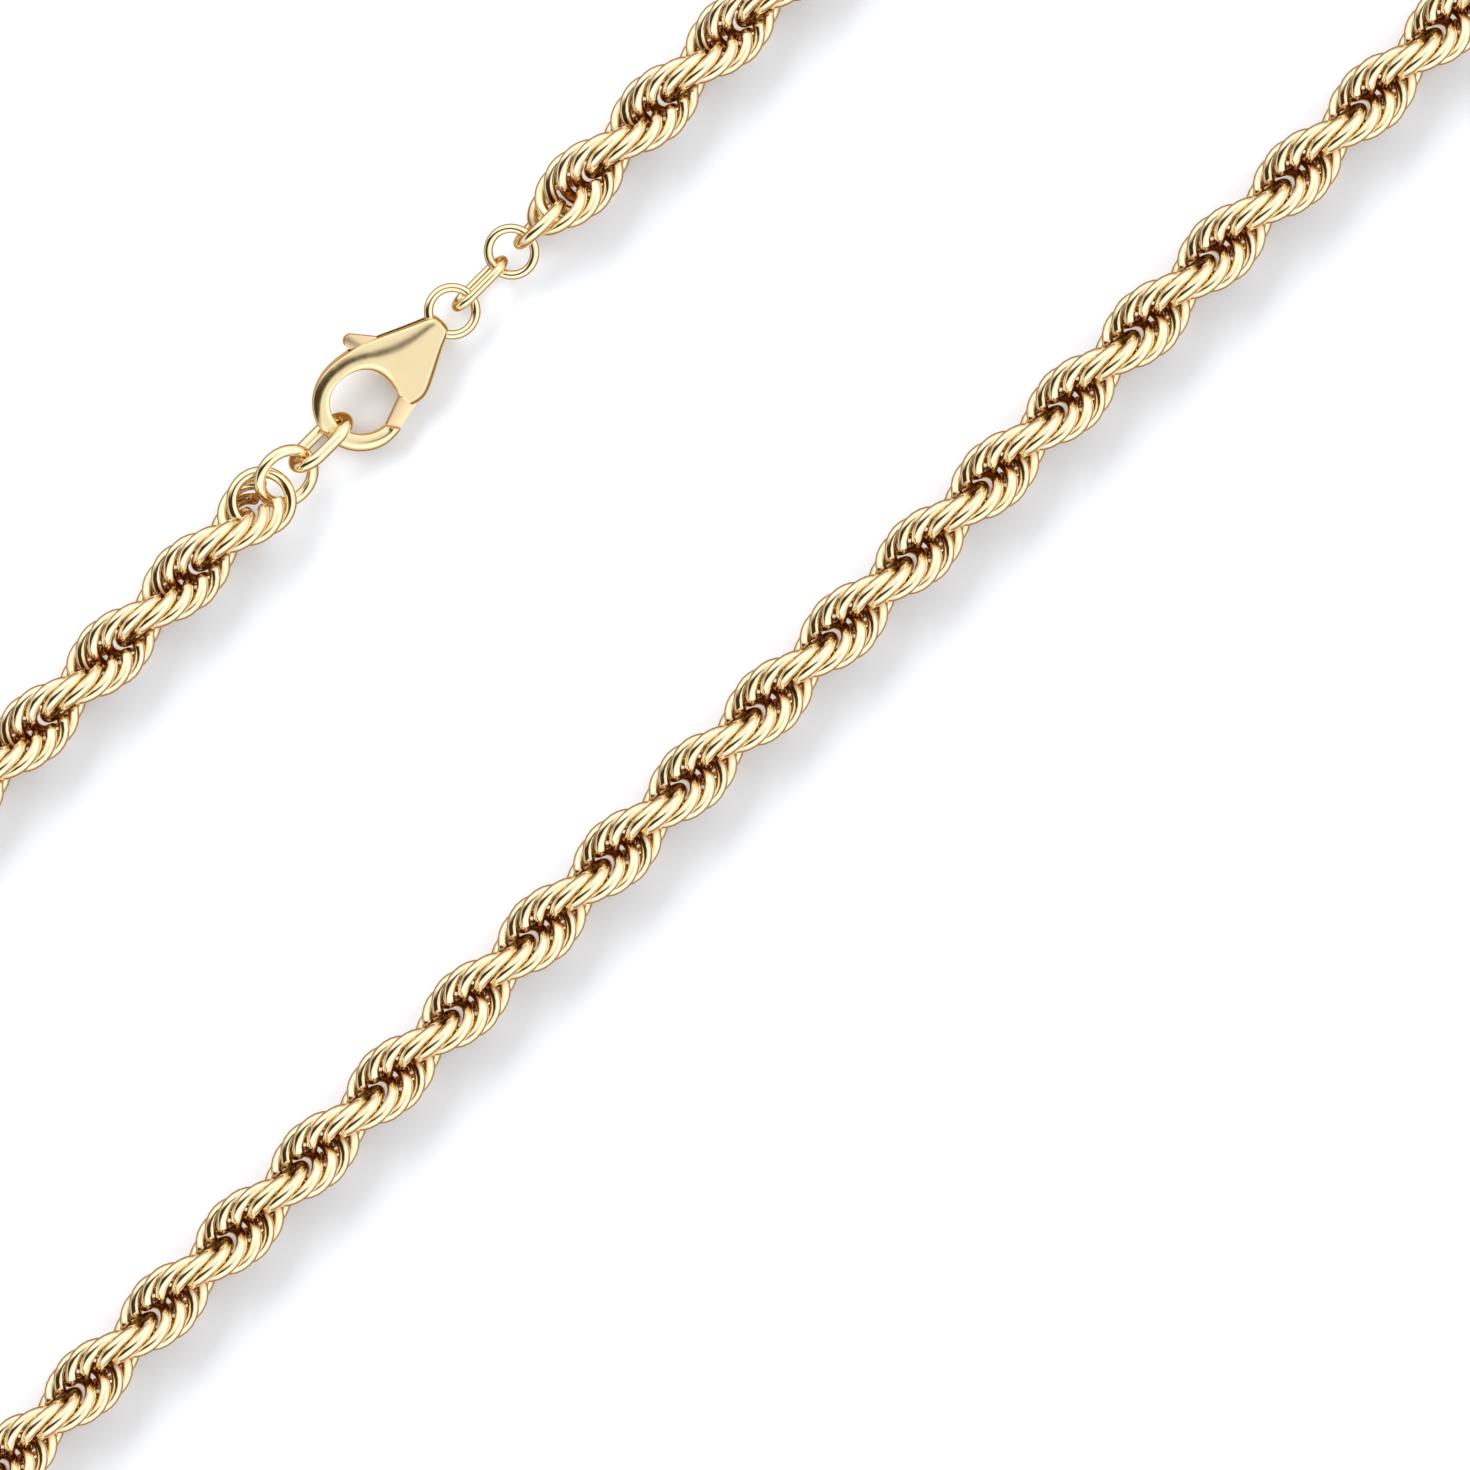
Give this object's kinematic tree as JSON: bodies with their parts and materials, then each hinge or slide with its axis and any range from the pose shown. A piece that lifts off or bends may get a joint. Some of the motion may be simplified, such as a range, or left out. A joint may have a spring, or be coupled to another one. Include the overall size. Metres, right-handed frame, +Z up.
{
  "type": "rope chain necklace",
  "caption": "Twisted gold rope chain laid out as a closed loop, with a lobster clasp, jump rings, an oval connecting link and a closed end link.",
  "frame": {"origin": "middle of the loop's outer box, on the surface that the chain lies on", "axes": "+X runs along the two straight strands, from the hook's end link towards the clasp's tail; +Y points from the plain strand to the strand with the clasp; +Z is up from the surface"},
  "size_m": [0.2332, 0.0418, 0.005],
  "materials": {
    "gold_polished": "polished pale yellow gold",
    "gold_lever": "flat-faced yellow gold, polished, a little duller"
  },
  "bodies": {
    "necklace": {"clasp_body": "gold_polished", "clasp_pin": "gold_lever", "jump_ring_clasp": "gold_polished", "oval_link": "gold_polished", "jump_ring_rope": "gold_polished", "end_link": "gold_polished", "first_link_1": "gold_polished", "first_link_2": "gold_polished", "first_link_3": "gold_polished", "first_link_4": "gold_polished", "first_link_5": "gold_polished", "first_link_6": "gold_polished", "first_link_7": "gold_polished", "last_link_1": "gold_polished", "last_link_2": "gold_polished", "last_link_3": "gold_polished", "last_link_4": "gold_polished", "last_link_5": "gold_polished", "last_link_6": "gold_polished", "last_link_7": "gold_polished", "rope_chain": "gold_polished"},
    "lever": {"clasp_lever": "gold_lever"}
  },
  "joints": [
    {"name": "lever_pivot", "type": "hinge", "parent": "necklace", "child": "lever", "pos_m": [0.00145, 0.015, 0.0013], "axis": [0, 0.1736, -0.9848], "range_deg": [0, 24], "stiffness_Nm_per_rad": 0.002, "springref_deg": -11.46}
  ]
}
